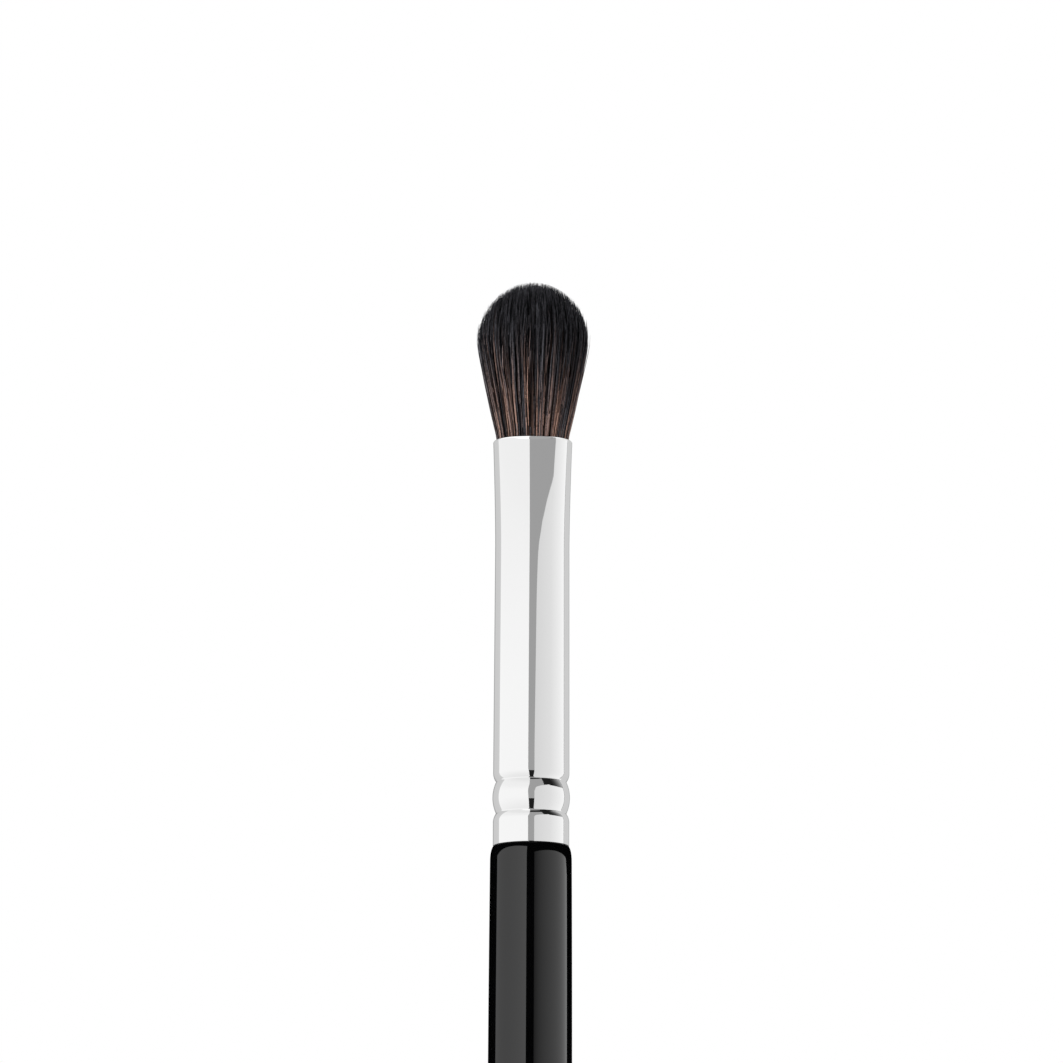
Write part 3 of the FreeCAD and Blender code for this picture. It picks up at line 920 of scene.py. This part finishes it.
# %% Grey wall in the gap, black drape round it, white cove behind, small cards close to the lip
wall_distance = 200.0
side_wall_distance = 400.0
drape_distance = 450.0
cove_distance = 120.0
wall_grey = 0.55
drape_grey = 0.02
wall_span = (-12.0, 43.0)
wall_heights = (8.0, 298.0)
side_wall_width = 20
side_wall_bottom = -25
side_wall_height = 290
wing_distance = 420.0
wing_start = 63
wing_bottom = 60
wing_table = ((76, 86, 95, 105, 116), (drape_grey, 0.07, 0.18, 0.36, 0.7))
drape_start = -20
drape_width = 140
drape_bottom = -2000
drape_height = 4000
streak_azimuth = 182
streak_table = ((0, 10, 30, 66), (0.12, 0.3, 0.85, 0.98))
lip_distance = 20.0
lip_heights = (85.0, 125.0)
lip_cards = (
    ("lip_card_left", left_border, -7, 1.8),
    ("lip_card_grey", -7, 61, 0.6),
    ("lip_card_right", 61, right_border, 1.7),
)

wall_azimuth = wall_span[0] + (wall_span[1] - wall_span[0]) * over
wall_height = wall_heights[0] + (wall_heights[1] - wall_heights[0]) * up
add_card("grey_wall", wall_distance, wall_azimuth, wall_height, wall_grey, round_tube)
add_card("grey_wall_side", side_wall_distance, wall_span[1] + side_wall_width * over,
         side_wall_bottom + side_wall_height * up, wall_grey, round_tube)
wing_azimuth = wing_start + (right_border - wing_start) * over
add_card("cove_wing", wing_distance, wing_azimuth, wing_bottom + (card_top - wing_bottom) * up,
         np.interp(wing_azimuth, *wing_table), round_tube)
add_card("black_drape", drape_distance, drape_start + drape_width * over,
         drape_bottom + drape_height * up, drape_grey, round_tube)
cove_azimuth = right_border + (360 + left_border - right_border) * over
add_card("white_cove", cove_distance, cove_azimuth, full_height,
         np.interp(np.abs(cove_azimuth - streak_azimuth), *streak_table), round_tube)
above_lip = lip_heights[0] + (lip_heights[1] - lip_heights[0]) * up
for name, start, stop, lip_strength in lip_cards:
    add_card(name, lip_distance, start + (stop - start) * over, above_lip, lip_strength, round_tube)

# %% [markdown]
# ## Lamps
# In a studio, light is flagged off a black gloss until only clean bands of it show. So the lacquer has two
# lamps of its own, left and right. The hair has two as well, and the floor has the room's. Blender's light
# linking lets a lamp or a card shine on chosen pieces alone, which does the work of the flags.


# %% How a lamp is made
def add_lamp(name, distance, azimuth, bottom, tops, strengths, lit):
    """Flat lamp that faces the brush's axis, between two azimuths, from a height up to two upper corners.

    Its strength changes evenly from its left border to its right one, and is nothing above the slanting
    line between the upper corners. Its energy is pi times its area, which makes a strength of 1 white.
    """
    middle = math.radians(sum(azimuth) / 2)
    half_width = distance * math.tan(math.radians(azimuth[1] - azimuth[0]) / 2)
    top = max(tops)
    lamp = bpy.data.lights.new(name, "AREA")
    lamp.shape = "RECTANGLE"
    lamp.size = 2 * half_width * MM
    lamp.size_y = (top - bottom) * MM
    lamp.energy = math.pi * lamp.size * lamp.size_y
    lamp.use_nodes = True
    tree = lamp.node_tree
    tree.nodes.clear()
    spot = add_node(tree, "ShaderNodeNewGeometry")
    parts = add_node(tree, "ShaderNodeSeparateXYZ", links={"Vector": spot.outputs["Parametric"]})
    level = add_node(tree, "ShaderNodeMapRange", {"To Min": strengths[0], "To Max": strengths[1]},
                     {"Value": parts.outputs["X"]})
    edge_shares = [(corner - bottom) / (top - bottom) for corner in tops]
    edge = add_node(tree, "ShaderNodeMapRange", {"To Min": edge_shares[0], "To Max": edge_shares[1]},
                    {"Value": parts.outputs["X"]})
    below = add_node(tree, "ShaderNodeMath", {"operation": "LESS_THAN"},
                     {0: parts.outputs["Y"], 1: edge.outputs["Result"]})
    shown = add_node(tree, "ShaderNodeMath", {"operation": "MULTIPLY"},
                     {0: level.outputs["Result"], 1: below.outputs[0]})
    shine = add_node(tree, "ShaderNodeEmission", links={"Strength": shown.outputs[0]})
    add_node(tree, "ShaderNodeOutputLight", links={"Surface": shine.outputs["Emission"]})
    stand = bpy.data.objects.new(name, lamp)
    towards = Vector((math.sin(middle), -math.cos(middle), 0))
    shift = Matrix.Translation((towards * distance + Vector((0, 0, (top + bottom) / 2))) * MM)
    stand.matrix_world = shift @ towards.to_track_quat("Z", "Y").to_matrix().to_4x4()
    stand.visible_camera = False
    stand.light_linking.receiver_collection = lit
    bpy.context.scene.collection.objects.link(stand)
    print(name, "%.2f by %.2f m" % (lamp.size, lamp.size_y))


# %% Lamps for the lacquer and the hair, and large ones for the room
# A row gives the azimuths of a lamp's borders, the heights of its upper corners and its strengths.
flag_distance = 38.0
flag_bottom = -130.0
flag_lamps = (
    ("flagged_left", (-107, -11.5), (45, 69), (0.95, 1.75)),
    ("flagged_right", (9.3, 118), (53, 42), (0.28, 2.15)),
)
hair_lamp_distance = 300.0
hair_lamp_bottom = -20.0
hair_lamps = (
    ("hair_left", (-140, -40), (560, 560), (1.65, 1.65)),
    ("hair_right", (40, 140), (560, 560), (2.4, 2.4)),
)
room_distance = 2500.0
room_bottom = -80.0
room_lamps = (
    ("room_left", (-115, -15), (4000, 4000), (1.7, 1.7)),
    ("room_right", (15, 115), (4000, 4000), (1.7, 1.7)),
)
for lamps, distance, bottom, lit in (
        (flag_lamps, flag_distance, flag_bottom, beside_flags),
        (hair_lamps, hair_lamp_distance, hair_lamp_bottom, hair_only),
        (room_lamps, room_distance, room_bottom, in_the_room)):
    for name, borders, tops, strengths in lamps:
        add_lamp(name, distance, borders, bottom, tops, strengths, lit)
